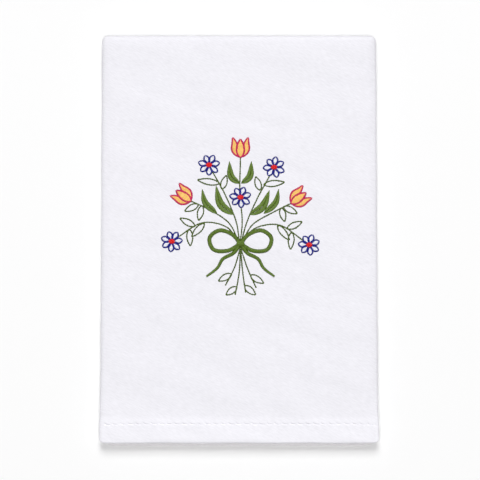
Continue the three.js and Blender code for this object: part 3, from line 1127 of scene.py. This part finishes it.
def thread_group():
    """Twisted thread: each strand's own tone, painted light and shade along the twist, painted shade where it
    dives in, and the twist's ridges.
    """
    tree = bpy.data.node_groups.new("twisted_thread", "ShaderNodeTree")
    for name, kind in (("Colour", "Color"), ("Spread", "Float"), ("Tucked", "Float")):
        tree.interface.new_socket(name, in_out="INPUT", socket_type="NodeSocket" + kind)
    for name, kind in (("Colour", "Color"), ("Height", "Float")):
        tree.interface.new_socket(name, in_out="OUTPUT", socket_type="NodeSocket" + kind)
    given = add_node(tree, "NodeGroupInput").outputs
    result = add_node(tree, "NodeGroupOutput")
    from_end, label, _ = parts_of(tree, add_node(tree, "ShaderNodeUVMap", uv_map="strand").outputs["UV"])
    own = add_node(tree, "ShaderNodeTexWhiteNoise", noise_dimensions="1D")
    feed(tree, own, W=reckon(tree, "FLOOR", label))
    turns = reckon(tree, "MULTIPLY_ADD", from_end, 1 / TWIST_LENGTH, label)
    twist = reckon(tree, "SINE", reckon(tree, "MULTIPLY", turns, 2 * PI))
    shade = reckon(tree, "MULTIPLY_ADD", own.outputs["Value"], 2, -1)
    shade = reckon(tree, "MULTIPLY_ADD", shade, given["Spread"], 1)
    # Painted light and shade along the twist: lighter on its ridges, darker in its grooves
    shade = reckon(tree, "MULTIPLY_ADD", twist, reckon(tree, "MULTIPLY", given["Spread"], TWIST_SHADE), shade)
    # Painted shade near both ends of a strand, where it dives into the cloth
    out = add_node(tree, "ShaderNodeMapRange")
    feed(tree, out, Value=from_end, From_Max=PAINTED_END_SHADE_REACH)
    feed(tree, out, To_Min=reckon(tree, "SUBTRACT", 1, given["Tucked"]))
    shade = reckon(tree, "MULTIPLY", shade, out.outputs["Result"])
    feed(tree, result, Colour=scaled(tree, given["Colour"], shade), Height=twist)
    return tree


def on_screen(colour):
    """The linear colour of a screen colour with parts from 0 to 255."""
    return tuple((part / 255) ** SCREEN_GAMMA for part in colour)


def thread_material(piece, group):
    """The thread of one piece, in its own colour."""
    colour = on_screen(THREAD_COLOURS[piece])
    material = plain_material("thread_of_" + piece, colour, THREAD_ROUGHNESS)
    tree = material.node_tree
    thread = add_node(tree, "ShaderNodeGroup", node_tree=group)
    # How dark the painted shade is where this piece's strands dive in
    painted_end_shade = PALE_PAINTED_END_SHADE if piece in PALE_PIECES else PAINTED_END_SHADE
    feed(tree, thread, Colour=(*colour, 1), Spread=THREAD_SPREAD, Tucked=painted_end_shade)
    bump = add_node(tree, "ShaderNodeBump")
    feed(tree, bump, Height=thread.outputs["Height"], Distance=TWIST_RELIEF)
    shader = tree.nodes["Principled BSDF"]
    feed(tree, shader, Base_Color=thread.outputs["Colour"], Normal=bump.outputs["Normal"])
    return material


# The camera, the floor and the light

CAMERA_DISTANCE = 1.6
CAMERA_TILT = math.radians(3.4)
CAMERA_AIM = Vector((0.82 * MM, -0.35 * MM, 9 * MM))
SENSOR_WIDTH = 36
PICTURE_WIDTH = 413.0 * MM

# Soft lights: name, height in degrees from the fold's side over to the hem's, distance, width, length, power
LIGHTS = (
    ("key", 50, 9, 4, 4.6, 520),
    ("fill", 110, 9, 7, 3, 394),
)

# The light of the sky, and the floor's shade and half its size
SKY_LIGHT = 0.145
FLOOR_SHADE = 0.96
FLOOR_HALF = 3.0


def add_camera():
    """A camera above the towel, a little towards its hem."""
    data = bpy.data.cameras.new("camera")
    data.sensor_width = SENSOR_WIDTH
    data.lens = SENSOR_WIDTH * CAMERA_DISTANCE / PICTURE_WIDTH
    camera = add_object("camera", data)
    back = Vector((0, -math.sin(CAMERA_TILT), math.cos(CAMERA_TILT)))
    up = Vector((0, math.cos(CAMERA_TILT), math.sin(CAMERA_TILT)))
    right = up.cross(back)
    turn = Matrix((right, up, back)).transposed().to_4x4()
    camera.matrix_world = Matrix.Translation(CAMERA_AIM + CAMERA_DISTANCE * back) @ turn
    bpy.context.scene.camera = camera


def add_floor():
    """A pale floor without gloss."""
    corners = [(x * FLOOR_HALF, y * FLOOR_HALF, 0) for x, y in ((-1, -1), (1, -1), (1, 1), (-1, 1))]
    mesh = bpy.data.meshes.new("floor")
    mesh.from_pydata(corners, [], [(0, 1, 2, 3)])
    floor = add_object("floor", mesh)
    material = plain_material("pale_floor", (FLOOR_SHADE,) * 3, 1.0)
    material.node_tree.nodes["Principled BSDF"].inputs["Specular IOR Level"].default_value = 0
    mesh.materials.append(material)


def add_light(name, height, distance, width, length, power):
    """A soft light, aimed at the towel."""
    data = bpy.data.lights.new(name, "AREA")
    data.shape = "RECTANGLE"
    data.size = width
    data.size_y = length
    data.energy = power
    light = add_object(name, data)
    spot = distance * Vector((0, math.cos(math.radians(height)), math.sin(math.radians(height))))
    light.location = spot
    light.rotation_euler = (-spot).to_track_quat("-Z", "Y").to_euler()


def add_sky():
    """An even studio sky, which the camera sees as white.

    It is still mapped by height, because the renderer samples a plain sky in another way.
    """
    world = bpy.data.worlds.new("studio")
    world.use_nodes = True
    tree = world.node_tree
    direction = add_node(tree, "ShaderNodeTexCoord").outputs["Generated"]
    light = add_node(tree, "ShaderNodeMapRange")
    feed(tree, light, Value=parts_of(tree, direction)[2], To_Min=SKY_LIGHT, To_Max=SKY_LIGHT)
    path = add_node(tree, "ShaderNodeLightPath")
    strength = add_node(tree, "ShaderNodeMix")
    feed(tree, strength, Factor=path.outputs["Is Camera Ray"], A=light.outputs["Result"], B=1)
    feed(tree, tree.nodes["Background"], Color=(1, 1, 1, 1), Strength=strength.outputs["Result"])
    bpy.context.scene.world = world
    bpy.context.scene.view_settings.view_transform = "Standard"


add_camera()
add_floor()
for light in LIGHTS:
    add_light(*light)
add_sky()

sew_posy()
towel = add_object("towel_cloth", towel_mesh(sewn_tree()))
towel.data.materials.append(cotton_material())
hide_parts("towel")
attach(towel, "root")

rng = np.random.default_rng(STRAND_SEED)
group = thread_group()
threads = [add_object(piece, posy_mesh(piece, rng)) for piece in stitches]
threads.append(add_object("hem_stitches", hem_mesh()))
for thread in threads:
    thread.data.materials.append(thread_material(thread.name, group))
    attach(thread, "root")
